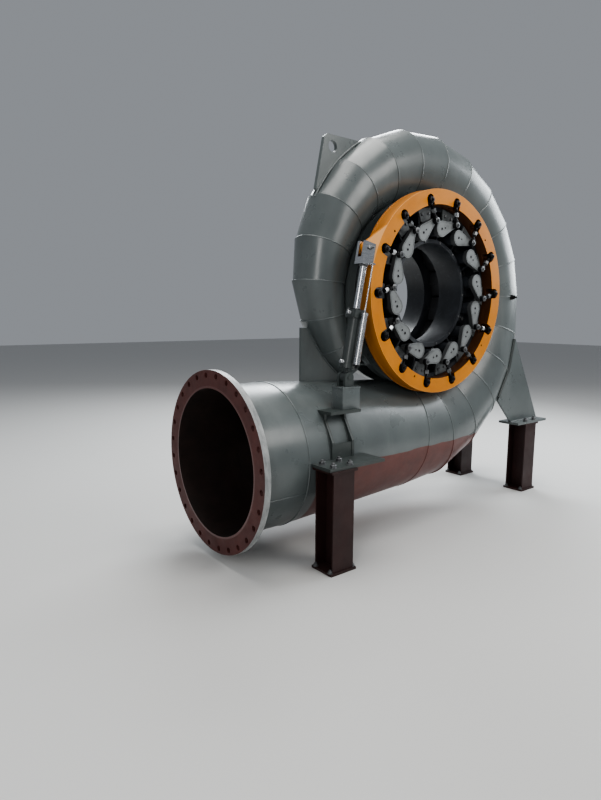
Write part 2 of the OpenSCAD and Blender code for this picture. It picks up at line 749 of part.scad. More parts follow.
inlet_flange();
inlet_pipe();
case_part(0, 5);  // case_bottom
case_part(5, 10);  // case_right
case_part(10, 15);  // case_top
case_left();
nose_web();
stay_ring();
head_cover();
rear_cover();
lifting_lug();
right_foot_front();
right_foot_rear();
left_foot_front();
left_foot_rear();
stand(-left_stand_x, 1, left_stand_z, left_top);  // stand_front_left
stand(-left_stand_x, -1, left_stand_z, left_top);  // stand_rear_left
stand(right_stand_x, 1, right_stand_z, right_top);  // stand_front_right
stand(right_stand_x, -1, right_stand_z, right_top);  // stand_rear_right
servo_block();
servo_barrel();
sensor_tube();
servo_rod();
sensor_rod();
operating_ring();
for (i = [1 : vanes]) guide_vane(i);
for (i = [1 : vanes]) link(i);
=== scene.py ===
import math
import bpy
import bmesh
from mathutils import Matrix, Vector


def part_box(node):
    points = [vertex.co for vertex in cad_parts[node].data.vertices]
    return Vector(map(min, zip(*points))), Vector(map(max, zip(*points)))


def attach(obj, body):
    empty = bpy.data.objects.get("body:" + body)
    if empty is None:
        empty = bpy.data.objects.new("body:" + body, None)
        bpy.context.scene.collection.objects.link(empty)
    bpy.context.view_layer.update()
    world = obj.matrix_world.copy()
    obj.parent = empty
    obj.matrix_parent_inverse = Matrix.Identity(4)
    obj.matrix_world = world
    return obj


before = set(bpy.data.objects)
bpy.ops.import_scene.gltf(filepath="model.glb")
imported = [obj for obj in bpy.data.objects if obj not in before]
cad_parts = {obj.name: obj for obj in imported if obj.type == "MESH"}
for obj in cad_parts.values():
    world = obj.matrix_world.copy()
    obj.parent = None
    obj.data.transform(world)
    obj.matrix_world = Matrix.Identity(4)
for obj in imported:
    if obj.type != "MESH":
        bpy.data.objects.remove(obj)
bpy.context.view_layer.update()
print("frame loaded:", len(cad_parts), "nodes")

# part.scad draws in the plane of the spiral, with its third direction towards the viewer
toWorld = Matrix.Rotation(math.radians(90), 4, "X")

machine = {  # metres and degrees; part.scad has the same sizes in millimetres
    "midPlane": -0.305, "caseInner": 0.700, "courseStart": -6, "courseAngle": 16, "courses": 20,
    "stems": 14, "stemCircle": 0.482, "firstStem": 0.3, "leverAngle": 14.5, "leverLength": 0.150,
    "leverFront": 0.086, "linkPlane": 0.105, "pinCircle": 0.690, "pinLead": 11.3,
    "ringRadius": 0.765, "ringFront": 0.110, "ringBack": -0.015,
    "inletReach": 1.789, "pipeRadius": 0.508, "pipeStraight": 0.420, "pipeTaper": 0.0496,
    "pipeHeight": -1.1397, "flangeRadius": 0.615, "flangeThickness": 0.044, "floor": -1.810,
}
# angles round the spiral, with the radius of its tube there
sectionTable = [(-6, 0.446), (0, 0.446), (90, 0.348), (180, 0.282), (270, 0.185), (314, 0.108)]


# places

def turn(degrees, axis="Z"):
    return Matrix.Rotation(math.radians(degrees), 4, axis)


def move(x, y, z):
    return Matrix.Translation((x, y, z))


def polar(radius, s):  # s counts anticlockwise from straight down, as in part.scad
    return Vector((radius * math.cos(math.radians(s - 90)), radius * math.sin(math.radians(s - 90)), 0))


def sectionRadius(s):
    for (s0, r0), (s1, r1) in zip(sectionTable, sectionTable[1:]):
        if s0 <= s <= s1:
            return r0 + (r1 - r0) * (s - s0) / (s1 - s0)
    return sectionTable[-1][1]


def courseCentre(s):
    return polar(machine["caseInner"] + sectionRadius(s), s) + Vector((0, 0, machine["midPlane"]))


def stemAngle(i):  # i = 1 is the top stem, going clockwise
    return 180 - machine["firstStem"] - (i - 1) * 360 / machine["stems"]


def stemTurn(i, extra=0):  # turns Y, straight up, to stem i
    return turn(stemAngle(i) - 180 + extra)


def leverPlace(i):  # origin on the stem, X along the lever
    return stemTurn(i) @ move(0, machine["stemCircle"], 0) @ turn(machine["leverAngle"])


def linkPlace(i):  # origin on the ring pin, X towards the lever's tip, and how far off that is
    lead = math.radians(machine["pinLead"])
    lean = math.radians(machine["leverAngle"])
    pin = Vector((math.sin(lead), math.cos(lead), 0)) * machine["pinCircle"]
    stem = Vector((0, machine["stemCircle"], 0))
    tip = Vector((math.cos(lean), math.sin(lean), 0)) * machine["leverLength"] + stem
    along = tip - pin
    heading = turn(math.degrees(math.atan2(along.y, along.x)))
    return stemTurn(i) @ move(pin.x, pin.y, machine["linkPlane"]) @ heading, along.length


# mesh helpers

def addBox(bm, place, size, bevel):
    made = bmesh.ops.create_cube(bm, size=1.0, matrix=place @ Matrix.Diagonal((*size, 1.0)))
    edges = list({e for v in made["verts"] for e in v.link_edges})
    bmesh.ops.bevel(bm, geom=edges, offset=bevel, segments=2, profile=0.5, affect="EDGES", material=-1)


def addRound(bm, place, radius, low, high, bevel=0.0, sides=32):
    height = high - low
    made = bmesh.ops.create_cone(bm, cap_ends=True, segments=sides, radius1=radius, radius2=radius,
                                 depth=height, matrix=place @ move(0, 0, low + height / 2))
    if bevel:
        rims = [e for e in {e for v in made["verts"] for e in v.link_edges}
                if any(len(f.verts) == sides for f in e.link_faces)]
        bmesh.ops.bevel(bm, geom=rims, offset=bevel, segments=2, profile=0.5, affect="EDGES", material=-1)


def addHex(bm, place, across, low, high):  # bolt head or nut with rounded-off corners
    height = high - low
    corner = across / 2 / math.cos(math.radians(30))
    made = bmesh.ops.create_cone(bm, cap_ends=True, segments=6, radius1=corner, radius2=corner,
                                 depth=height, matrix=place @ move(0, 0, low + height / 2))
    far = place @ Vector((0, 0, high))
    top = [f for f in {f for v in made["verts"] for f in v.link_faces}
           if len(f.verts) == 6 and (f.calc_center_median() - far).length < height * 0.1]
    rim = [e for f in top for e in f.edges]
    bmesh.ops.bevel(bm, geom=rim, offset=min(across * 0.07, height * 0.3), segments=1, profile=0.5,
                    affect="EDGES", material=-1)


fastener = {  # times the thread's diameter
    "washer": 1.05, "washerTop": 0.16, "washerEdge": 0.03, "across": 1.5, "head": 0.65,
    "nutTop": 0.90, "stud": 0.46, "studTop": 1.35, "studEdge": 0.06,
    "socketHead": 0.75, "socketTop": 0.55, "socketEdge": 0.08, "key": 0.38, "keyTop": 0.56,
}
washerSink = 0.0005


def addWasher(bm, place, size):
    addRound(bm, place, size * fastener["washer"], -washerSink, size * fastener["washerTop"],
             bevel=size * fastener["washerEdge"], sides=20)


def addBolt(bm, place, size, washer=True):  # size is the thread's diameter, the head stands along +Z
    base = 0.0
    if washer:
        addWasher(bm, place, size)
        base = size * fastener["washerTop"]
    addHex(bm, place, size * fastener["across"], base, base + size * fastener["head"])


def addStudWithNut(bm, place, size):
    addWasher(bm, place, size)
    addHex(bm, place, size * fastener["across"], size * fastener["washerTop"], size * fastener["nutTop"])
    addRound(bm, place, size * fastener["stud"], size * fastener["nutTop"], size * fastener["studTop"],
             bevel=size * fastener["studEdge"], sides=16)


def addSocketScrew(bm, place, size):
    top = size * fastener["socketTop"]
    addRound(bm, place, size * fastener["socketHead"], 0, top, bevel=size * fastener["socketEdge"], sides=20)
    addRound(bm, place, size * fastener["key"], top, size * fastener["keyTop"], sides=6)


def addSpin(bm, place, outline, steps):  # closed outline of (radius, height) points, turned round place's Z
    verts = [bm.verts.new(place @ Vector((radius, 0, height))) for radius, height in outline]
    edges = [bm.edges.new((verts[n], verts[(n + 1) % len(verts)])) for n in range(len(verts))]
    bmesh.ops.spin(bm, geom=verts + edges, cent=place.translation, axis=place.to_3x3() @ Vector((0, 0, 1)),
                   dvec=(0, 0, 0), angle=math.radians(360), steps=steps, use_merge=True, use_duplicate=False)


def addSweep(bm, points, radius, sides=8):  # a round bead or rod along points; equal ends make a closed ring
    points = [Vector(p) for p in points]
    closed = (points[0] - points[-1]).length < 1e-6
    heading = ((points[1] - points[-2]) if closed else (points[1] - points[0])).normalized()
    start = Matrix.Translation(points[0]) @ heading.to_track_quat("Z", "Y").to_matrix().to_4x4()
    first = bmesh.ops.create_circle(bm, cap_ends=False, segments=sides, radius=radius, matrix=start)["verts"]
    edges = list({e for v in first for e in v.link_edges})
    firstEdges = list(edges)
    for k in range(1, len(points)):
        ahead = points[1] if closed and k == len(points) - 1 else points[min(k + 1, len(points) - 1)]
        new = (ahead - points[k - 1]).normalized()
        swing = heading.rotation_difference(new).to_matrix().to_4x4()
        grown = bmesh.ops.extrude_edge_only(bm, edges=edges)["geom"]
        last = [g for g in grown if isinstance(g, bmesh.types.BMVert)]
        edges = [g for g in grown if isinstance(g, bmesh.types.BMEdge)]
        bmesh.ops.transform(bm, verts=last,
                            matrix=Matrix.Translation(points[k]) @ swing @ Matrix.Translation(-points[k - 1]))
        heading = new
    if closed:
        bmesh.ops.remove_doubles(bm, verts=list(first) + last, dist=1e-4)
    else:
        bmesh.ops.holes_fill(bm, edges=firstEdges + edges, sides=0)


def finishPiece(name, bm, material, body, place=toWorld, sharp=32):
    bmesh.ops.transform(bm, matrix=place, verts=bm.verts)
    bmesh.ops.recalc_face_normals(bm, faces=bm.faces)
    mesh = bpy.data.meshes.new(name)
    bm.to_mesh(mesh)
    bm.free()
    mesh.shade_smooth()
    mesh.set_sharp_from_angle(angle=math.radians(sharp))
    piece = bpy.data.objects.new(name, mesh)
    bpy.context.scene.collection.objects.link(piece)
    mesh.materials.append(material)
    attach(piece, body)


# material helpers

class Finish:  # a Principled material read from Object coordinates
    def __init__(self, name, metallic=0.0, coat=0.0, coatRoughness=0.2, specular=0.5):
        self.material = bpy.data.materials.new(name)
        self.material.use_nodes = True
        self.tree = self.material.node_tree
        self.shader = self.tree.nodes["Principled BSDF"]
        self.shader.inputs["Metallic"].default_value = metallic
        self.shader.inputs["Coat Weight"].default_value = coat
        self.shader.inputs["Coat Roughness"].default_value = coatRoughness
        self.shader.inputs["Specular IOR Level"].default_value = specular
        self.coords = self.tree.nodes.new("ShaderNodeTexCoord").outputs["Object"]
        parts = self.tree.nodes.new("ShaderNodeSeparateXYZ")
        self.tree.links.new(self.coords, parts.inputs[0])
        self.x, self.y, self.z = (parts.outputs[axis] for axis in "XYZ")

    def link(self, a, b):
        self.tree.links.new(a, b)

    def noise(self, scale, detail, rough, stretch=(1, 1, 1)):
        mapping = self.tree.nodes.new("ShaderNodeMapping")
        mapping.inputs["Scale"].default_value = stretch
        node = self.tree.nodes.new("ShaderNodeTexNoise")
        node.inputs["Scale"].default_value = scale
        node.inputs["Detail"].default_value = detail
        node.inputs["Roughness"].default_value = rough
        self.link(self.coords, mapping.inputs["Vector"])
        self.link(mapping.outputs[0], node.inputs["Vector"])
        return node.outputs["Fac"]

    def math(self, kind, a, b=0.0, c=0.0):
        node = self.tree.nodes.new("ShaderNodeMath")
        node.operation = kind
        for socket, value in zip(node.inputs, (a, b, c)):
            if isinstance(value, (int, float)):
                socket.default_value = value
            else:
                self.link(value, socket)
        return node.outputs[0]

    def span(self, value, low, high, toLow=0.0, toHigh=1.0):
        node = self.tree.nodes.new("ShaderNodeMapRange")
        for name, number in (("From Min", low), ("From Max", high), ("To Min", toLow), ("To Max", toHigh)):
            node.inputs[name].default_value = number
        self.link(value, node.inputs["Value"])
        return node.outputs[0]

    def facing(self):  # the surface's own direction, as three numbers
        split = self.tree.nodes.new("ShaderNodeSeparateXYZ")
        self.link(self.tree.nodes.new("ShaderNodeNewGeometry").outputs["Normal"], split.inputs[0])
        return [split.outputs[axis] for axis in "XYZ"]

    def dot(self, a, b):
        total = self.math("MULTIPLY", a[0], b[0])
        for u, v in zip(a[1:], b[1:]):
            total = self.math("MULTIPLY_ADD", u, v, total)
        return total

    def distance(self, *parts):
        return self.math("SQRT", self.dot(parts, parts))

    def mix(self, share, a, b):  # a and b are colours or sockets
        node = self.tree.nodes.new("ShaderNodeMix")
        node.data_type = "RGBA"
        for socket, value in ((node.inputs[0], share), (node.inputs[6], a), (node.inputs[7], b)):
            if isinstance(value, tuple):
                socket.default_value = (*value, 1.0)
            else:
                self.link(value, socket)
        return node.outputs[2]

    def finish(self, colour, roughness, height, strength, distance):
        self.link(colour, self.shader.inputs["Base Color"])
        self.link(roughness, self.shader.inputs["Roughness"])
        bump = self.tree.nodes.new("ShaderNodeBump")
        bump.inputs["Strength"].default_value = strength
        bump.inputs["Distance"].default_value = distance
        self.link(height, bump.inputs["Height"])
        self.link(bump.outputs[0], self.shader.inputs["Normal"])
        return self.material


def weathered(name, base, dark, light, rough=(0.32, 0.5), dustShare=0.25, **options):
    f = Finish(name, **options)
    cloud = f.span(f.noise(2.6, 6, 0.6), 0.3, 0.72)
    colour = f.mix(cloud, dark, base)
    scuff = f.span(f.noise(19, 8, 0.7), 0.57, 0.74)
    colour = f.mix(f.math("MULTIPLY", scuff, dustShare), colour, light)
    roughness = f.span(f.noise(7, 5, 0.6), 0.3, 0.7, *rough)
    return f.finish(colour, roughness, f.noise(220, 3, 0.5), 0.12, 0.0006)


def brushed(name, dark, light, rough=(0.2, 0.34), stretch=(1, 1, 14), metallic=1.0):
    f = Finish(name, metallic=metallic)
    line = f.span(f.noise(26, 6, 0.6, stretch), 0.3, 0.7)
    colour = f.mix(line, dark, light)
    roughness = f.span(f.noise(18, 4, 0.6), 0.3, 0.7, *rough)
    return f.finish(colour, roughness, f.noise(90, 3, 0.5, stretch), 0.08, 0.0003)


# materials

caseLooks = {
    "dark": (0.080, 0.094, 0.095), "light": (0.122, 0.140, 0.140), "streak": (0.185, 0.20, 0.198),
    "spot": (0.04, 0.044, 0.043), "primerDark": (0.080, 0.020, 0.016), "primerLight": (0.130, 0.034, 0.026),
    "primerTop": -1.172, "primerFull": -1.176, "primerWave": 0.02, "primerFade": 0.02,
    "insideShadeDark": (0.012, 0.007, 0.006), "insideShadeLight": (0.030, 0.016, 0.013),
    "pipeEnd": (0.105, 0.033, 0.028), "pipeEndWidth": 0.003,
}


def acrossPipe(f):  # how far a point lies from the inlet pipe's axis, in depth and in height
    return f.math("SUBTRACT", f.y, -machine["midPlane"]), f.math("SUBTRACT", f.z, machine["pipeHeight"])


def insideSpiral(f):  # 1 on the faces that look at the middle line of the spiral's tube
    (firstTurn, firstRadius), (lastTurn, lastRadius) = sectionTable[0], sectionTable[-1]
    radius = f.distance(f.x, f.z)
    s = f.math("DEGREES", f.math("ARCTAN2", f.math("MULTIPLY", f.x, -1.0), f.z))
    s = f.math("FLOORED_MODULO", f.math("ADD", s, 180.0 - firstTurn), 360.0)
    s = f.math("ADD", s, firstTurn)
    inner = machine["caseInner"]
    centre = f.span(s, firstTurn, lastTurn, inner + firstRadius, inner + lastRadius)
    out = f.math("DIVIDE", f.math("SUBTRACT", radius, centre), radius)
    depth = f.math("SUBTRACT", f.y, -machine["midPlane"])
    towards = (f.math("MULTIPLY", f.x, out), depth, f.math("MULTIPLY", f.z, out))
    return f.math("LESS_THAN", f.dot(f.facing(), towards), -0.01)


def insidePipe(f):  # 1 on the faces that look at the pipe's axis
    return f.math("LESS_THAN", f.dot(f.facing()[1:], acrossPipe(f)), -0.01)


def makeCasePaint(name, primer=False, primerFrom=None, inside=None):
    looks = caseLooks
    f = Finish(name, coat=0.3, coatRoughness=0.22)
    cloud = f.span(f.noise(1.7, 6, 0.62), 0.3, 0.72)
    colour = f.mix(cloud, looks["dark"], looks["light"])
    streak = f.span(f.noise(6, 6, 0.65, (1, 1, 0.16)), 0.52, 0.8)
    colour = f.mix(f.math("MULTIPLY", streak, 0.35), colour, looks["streak"])
    spots = f.span(f.noise(42, 5, 0.7), 0.66, 0.72)
    colour = f.mix(f.math("MULTIPLY", spots, 0.4), colour, looks["spot"])
    roughness = f.span(f.noise(5, 6, 0.65), 0.3, 0.72, 0.24, 0.42)
    if primer:  # the underside is left in red primer, up to a wavy edge
        wave = f.span(f.noise(3.5, 3, 0.5), 0.0, 1.0, -looks["primerWave"], looks["primerWave"])
        below = f.span(f.math("ADD", f.z, wave), looks["primerTop"], looks["primerFull"])
        if primerFrom is not None:
            across = f.span(f.math("ADD", f.x, wave), primerFrom, primerFrom + looks["primerFade"])
            below = f.math("MULTIPLY", below, across)
        red = f.mix(f.span(f.noise(9, 6, 0.7), 0.3, 0.7), looks["primerDark"], looks["primerLight"])
        colour = f.mix(below, colour, red)
        roughness = f.math("MULTIPLY_ADD", below, 0.2, roughness)
    if inside is not None:
        mask = inside(f)
        if inside is insidePipe:  # the pipe's end wears the flange's primer
            end = f.math("LESS_THAN", f.x, -machine["inletReach"] + looks["pipeEndWidth"])
            colour = f.mix(end, colour, looks["pipeEnd"])
        # painted shade: faces that look into the spiral's tube or the pipe turn nearly black
        dark = f.mix(f.span(f.noise(6, 6, 0.7), 0.3, 0.7), looks["insideShadeDark"], looks["insideShadeLight"])
        colour = f.mix(mask, colour, dark)
        roughness = f.math("MULTIPLY_ADD", mask, 0.3, roughness)
    return f.finish(colour, roughness, f.noise(90, 4, 0.6), 0.10, 0.0008)


flangeLooks = {
    "dark": (0.060, 0.018, 0.016), "light": (0.110, 0.033, 0.028),
    "bareDark": (0.16, 0.17, 0.17), "bareLight": (0.36, 0.37, 0.37), "bareFrom": 0.0015, "bareTo": 0.0008,
}


def makeFlangeRed():  # primer, with a bare machined rim
    looks = flangeLooks
    f = Finish("flangeRed")
    radius = f.distance(*acrossPipe(f))
    outside = machine["flangeRadius"]
    bare = f.span(radius, outside - looks["bareFrom"], outside - looks["bareTo"])
    red = f.mix(f.span(f.noise(8, 6, 0.7), 0.3, 0.7), looks["dark"], looks["light"])
    metal = f.mix(f.span(f.noise(14, 6, 0.7, (3, 1, 1)), 0.3, 0.7), looks["bareDark"], looks["bareLight"])
    colour = f.mix(bare, red, metal)
    roughness = f.math("MULTIPLY_ADD", bare, -0.2, f.span(f.noise(12, 5, 0.6), 0.3, 0.7, 0.52, 0.68))
    return f.finish(colour, roughness, f.noise(160, 4, 0.6), 0.15, 0.0006)


ringLooks = {
    "dark": (0.50, 0.175, 0.012), "light": (0.62, 0.235, 0.020), "grime": (0.30, 0.11, 0.02),
    "behind": (0.24, 0.090, 0.020), "edge": (0.85, 0.48, 0.20), "inner": (0.080, 0.032, 0.012),
    "pin": (0.045, 0.017, 0.012), "wallInner": 0.7440,
}


def makeRingOrange():
    looks = ringLooks
    f = Finish("ringOrange", coat=0.05, coatRoughness=0.3, specular=0.35)
    front = -machine["ringFront"]
    radius = f.distance(f.x, f.z)
    cloud = f.span(f.noise(3.2, 6, 0.6), 0.3, 0.72)
    colour = f.mix(cloud, looks["dark"], looks["light"])
    grime = f.span(f.noise(13, 8, 0.7), 0.5, 0.8)
    colour = f.mix(f.math("MULTIPLY", grime, 0.35), colour, looks["grime"])
    behind = f.span(f.y, front + 0.002, front + 0.050)  # painted shade: the outer wall darkens towards the back
    colour = f.mix(f.math("MULTIPLY", behind, 0.5), colour, looks["behind"])
    # painted highlight: a thin bright line along the front plate's outer rim
    rim = f.span(radius, machine["ringRadius"] - 0.0022, machine["ringRadius"] - 0.0010)
    edge = f.math("MULTIPLY", rim, f.span(f.y, front + 0.0030, front + 0.0015))
    colour = f.mix(f.math("MULTIPLY", edge, 0.6), colour, looks["edge"])
    within = f.span(radius, looks["wallInner"], looks["wallInner"] - 0.0015)
    inner = f.math("MULTIPLY", within, f.span(f.y, front + 0.0008, front + 0.0020))
    level = f.math("LESS_THAN", f.facing()[1], -0.7)  # within the outer wall all but the front face is dark: bare primer, deepened by painted shade in the notches
    face = f.math("MULTIPLY", level, f.math("COMPARE", f.y, front, 0.0006))
    inner = f.math("MULTIPLY", inner, f.math("SUBTRACT", 1.0, face))
    colour = f.mix(inner, colour, looks["inner"])
    pins = f.math("LESS_THAN", f.y, front - 0.0006)
    colour = f.mix(pins, colour, looks["pin"])
    roughness = f.span(f.noise(9, 5, 0.6), 0.3, 0.7, 0.34, 0.5)
    return f.finish(colour, roughness, f.noise(130, 4, 0.6), 0.10, 0.0006)


coverLooks = {"dark": (0.016, 0.018, 0.022), "light": (0.040, 0.045, 0.052), "wear": (0.12, 0.13, 0.14)}


def makeCoverDark():
    f = Finish("coverDark", coat=0.1)
    cloud = f.span(f.noise(4.5, 6, 0.65), 0.3, 0.72)
    colour = f.mix(cloud, coverLooks["dark"], coverLooks["light"])
    wear = f.span(f.noise(24, 8, 0.7), 0.56, 0.75)
    colour = f.mix(f.math("MULTIPLY", wear, 0.35), colour, coverLooks["wear"])
    roughness = f.span(f.noise(10, 5, 0.6), 0.3, 0.7, 0.3, 0.5)
    return f.finish(colour, roughness, f.noise(140, 4, 0.65), 0.22, 0.0007)


leverLooks = {
    "dark": (0.190, 0.202, 0.204), "light": (0.250, 0.264, 0.266), "stain": (0.10, 0.102, 0.105),
    "side": (0.075, 0.079, 0.081), "deepShade": (0.05, 0.052, 0.056), "deepFrom": -0.052, "deepTo": -0.047,
}


def makeLeverGrey():
    looks = leverLooks
    f = Finish("leverGrey", metallic=0.25)
    speck = f.span(f.noise(320, 5, 0.7), 0.36, 0.66)
    colour = f.mix(speck, looks["dark"], looks["light"])
    stain = f.span(f.noise(14, 6, 0.65), 0.5, 0.78)
    colour = f.mix(f.math("MULTIPLY", stain, 0.5), colour, looks["stain"])
    front = f.math("LESS_THAN", f.facing()[1], -0.7)  # only the faces that look to the front keep the light grey, all others are darker
    colour = f.mix(front, looks["side"], colour)
    deepShade = f.span(f.y, looks["deepFrom"], looks["deepTo"])  # painted shade: stems and blades behind the levers are darker
    colour = f.mix(deepShade, colour, looks["deepShade"])
    roughness = f.span(f.noise(40, 5, 0.6), 0.3, 0.7, 0.42, 0.6)
    return f.finish(colour, roughness, f.noise(260, 4, 0.65), 0.25, 0.0004)


casePaint = makeCasePaint("casePaint")
casePaintPrimed = makeCasePaint("casePaintPrimed", primer=True)
casePaintInside = makeCasePaint("casePaintInside", primer=True, inside=insideSpiral)
pipePaint = makeCasePaint("pipePaint", primer=True, primerFrom=-1.29, inside=insidePipe)
flangeRed = makeFlangeRed()
ringOrange = makeRingOrange()
coverDark = makeCoverDark()
leverGrey = makeLeverGrey()
# painted shade: a darker copy of the case paint, for the left feet that stand in shade
footPaintShaded = weathered("footPaintShaded", (0.055, 0.066, 0.064), (0.036, 0.044, 0.042), (0.14, 0.15, 0.145),
                      coat=0.2)
standPaint = weathered("standPaint", (0.034, 0.010, 0.009), (0.016, 0.006, 0.0055), (0.075, 0.038, 0.03),
                       (0.45, 0.68))
barrelPaint = weathered("barrelPaint", (0.052, 0.062, 0.060), (0.034, 0.040, 0.040), (0.14, 0.15, 0.145),
                        coat=0.2)
linkBlack = weathered("linkBlack", (0.020, 0.020, 0.022), (0.008, 0.008, 0.009), (0.11, 0.11, 0.115),
                      (0.28, 0.5), dustShare=0.5, metallic=0.5)
platePaint = weathered("platePaint", (0.125, 0.134, 0.136), (0.080, 0.087, 0.090), (0.20, 0.21, 0.21),
                       (0.4, 0.6))
polishedRod = brushed("polishedRod", (0.50, 0.51, 0.52), (0.78, 0.79, 0.80), (0.10, 0.2))
plainAluminium = brushed("plainAluminium", (0.42, 0.43, 0.44), (0.68, 0.69, 0.70))
zincBright = brushed("zincBright", (0.34, 0.35, 0.36), (0.62, 0.63, 0.64), (0.22, 0.4), (1, 1, 1))
wornSteel = brushed("wornSteel", (0.10, 0.105, 0.11), (0.25, 0.255, 0.26), (0.32, 0.5), (1, 1, 1), 0.8)
print("materials made")

nodePaint = {
    "inlet_flange": flangeRed, "inlet_pipe": pipePaint, "nose_web": casePaint, "stay_ring": casePaint,
    "case_bottom": casePaintInside, "case_right": casePaintInside,
    "case_top": casePaintInside, "case_left": casePaintInside,
    "head_cover": coverDark, "rear_cover": coverDark, "lifting_lug": casePaint,
    "right_foot_front": casePaint, "right_foot_rear": casePaint,
    "left_foot_front": footPaintShaded, "left_foot_rear": footPaintShaded,
    "servo_block": footPaintShaded, "servo_barrel": barrelPaint, "sensor_tube": plainAluminium,
    "servo_rod": polishedRod, "sensor_rod": polishedRod, "operating_ring": ringOrange,
}
groupPaint = {"stand_": standPaint, "guide_vane_": leverGrey, "link_": linkBlack}
for nodeName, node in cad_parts.items():
    paint = nodePaint.get(nodeName)
    for start, shared in groupPaint.items():
        if nodeName.startswith(start):
            paint = shared
    node.data.materials.clear()
    node.data.materials.append(paint)
print("frame painted")


# weld seams of the spiral and the inlet

seam = {
    "bead": 0.006, "sink": 0.0012, "steps": 40, "opening": 0.034,
    "stayBead": 0.009, "stayRadius": 0.729, "stayOpening": 0.027, "staySteps": 160,
    "flangeBead": 0.011, "flangeOut": 0.002, "pipeSink": 0.001,
    "lengthBead": 0.005, "lengthTurn": 200, "lengthSink": 0.0005, "lengthAt": (0.05, 0.2, 0.41),
    "ringSteps": 96,
}


def courseSeam(bm, k):
    s = machine["courseStart"] + k * machine["courseAngle"]
    r = sectionRadius(s)
    out = polar(1, s)
    centre = courseCentre(s)
    widen = 1 / math.cos(math.radians(machine["courseAngle"] / 2))
    reach = math.degrees(math.acos(-(r - seam["opening"]) / r))
    r -= seam["sink"]  # the beads sit a little in the plate, so the topmost one stays inside the solids' box
    points = []
    for n in range(seam["steps"] + 1):
        t = math.radians(-reach + 2 * reach * n / seam["steps"])
        points.append(centre + out * (r * math.cos(t) * widen) + Vector((0, 0, r * math.sin(t))))
    addSweep(bm, points, seam["bead"])


bm = bmesh.new()
for k in range(machine["courses"] + 1):
    courseSeam(bm, k)
finishPiece("caseSeams", bm, casePaintPrimed, "case", sharp=60)

bm = bmesh.new()
for side in (1, -1):
    points = []
    for n in range(seam["staySteps"] + 1):
        s = machine["courseStart"] + machine["courses"] * machine["courseAngle"] * n / seam["staySteps"]
        r = sectionRadius(s)
        rise = math.sqrt(r * r - (r - seam["stayOpening"]) ** 2)
        points.append(polar(seam["stayRadius"], s) + Vector((0, 0, machine["midPlane"] + side * rise)))
    addSweep(bm, points, seam["stayBead"])
finishPiece("stayRingSeams", bm, casePaint, "case", sharp=60)

firstCourse = polar(machine["caseInner"] + sectionTable[0][1], machine["courseStart"])
inletAxis = move(-machine["inletReach"], firstCourse.y, machine["midPlane"]) @ turn(90, "Y")


def roundPipe(radius, height):  # points of a closed ring, at a height from the flange's face
    angles = [2 * math.pi * n / seam["ringSteps"] for n in range(seam["ringSteps"] + 1)]
    return [inletAxis @ Vector((radius * math.cos(a), radius * math.sin(a), height)) for a in angles]


pipe = machine["pipeRadius"]
flangeBack = machine["flangeThickness"] + seam["flangeOut"]
lengthways = inletAxis @ turn(seam["lengthTurn"])
bm = bmesh.new()
addSweep(bm, roundPipe(pipe + seam["flangeOut"], flangeBack), seam["flangeBead"])
addSweep(bm, roundPipe(pipe - seam["pipeSink"], machine["pipeStraight"]), seam["bead"])
addSweep(bm, [lengthways @ Vector((pipe - seam["lengthSink"], 0, h)) for h in seam["lengthAt"]],
         seam["lengthBead"])
finishPiece("pipeSeams", bm, pipePaint, "case", sharp=60)
print("weld seams laid")


# operating ring

ringTrim = {"weldOut": 0.001, "weldUp": 0.018, "weldBead": 0.003}

bm = bmesh.new()
onWall = Vector((0, machine["ringRadius"] + ringTrim["weldOut"], machine["ringBack"] + ringTrim["weldUp"]))
addSweep(bm, [turn(a) @ onWall for a in range(0, 361, 4)], ringTrim["weldBead"])
finishPiece("ringSeams", bm, ringOrange, "ring", sharp=60)

# radius or width, then low and high
pinCap = {"cap": (0.0225, 0.1194, 0.1275), "nut": (0.024, 0.127, 0.1365), "stud": (0.0065, 0.1365, 0.1415)}

bm = bmesh.new()
for i in range(1, machine["stems"] + 1):
    place = stemTurn(i, -machine["pinLead"]) @ move(0, machine["pinCircle"], 0)
    addRound(bm, place, *pinCap["cap"], bevel=0.0012)
    addHex(bm, place @ turn(17 * i), *pinCap["nut"])
    addRound(bm, place, *pinCap["stud"], bevel=0.001, sides=16)
finishPiece("ringPinCaps", bm, linkBlack, "ring")
print("operating ring dressed")


# levers

leverTrim = {
    "hub": 0.060, "tip": 0.020, "edge": 0.006, "width": 0.003, "rise": 0.0012, "sink": 0.0005,
    "holes": ((0, 0.0081), (0.038, 0.0051)), "bushing": 0.0035, "bushingTop": 0.0030,
    "bushingRise": 0.0008, "bushingSink": 0.001,
}


def teardrop(bm, inset, low, high):  # a prism round the stem and the small end
    for x, r in ((0, leverTrim["hub"] - inset), (machine["leverLength"], leverTrim["tip"] - inset)):
        bmesh.ops.create_cone(bm, cap_ends=True, segments=48, radius1=r, radius2=r, depth=high - low,
                              matrix=move(x, 0, (low + high) / 2))
    hull = bmesh.ops.convex_hull(bm, input=list(bm.verts))
    spare = hull["geom_interior"] + hull["geom_unused"]
    drop = {g for g in spare if isinstance(g, bmesh.types.BMVert) and g.is_valid}
    bmesh.ops.delete(bm, geom=list(drop), context="VERTS")
    bmesh.ops.dissolve_limit(bm, angle_limit=math.radians(0.5), verts=bm.verts, edges=bm.edges)


def faceHeight(face):
    return face.calc_center_median().z


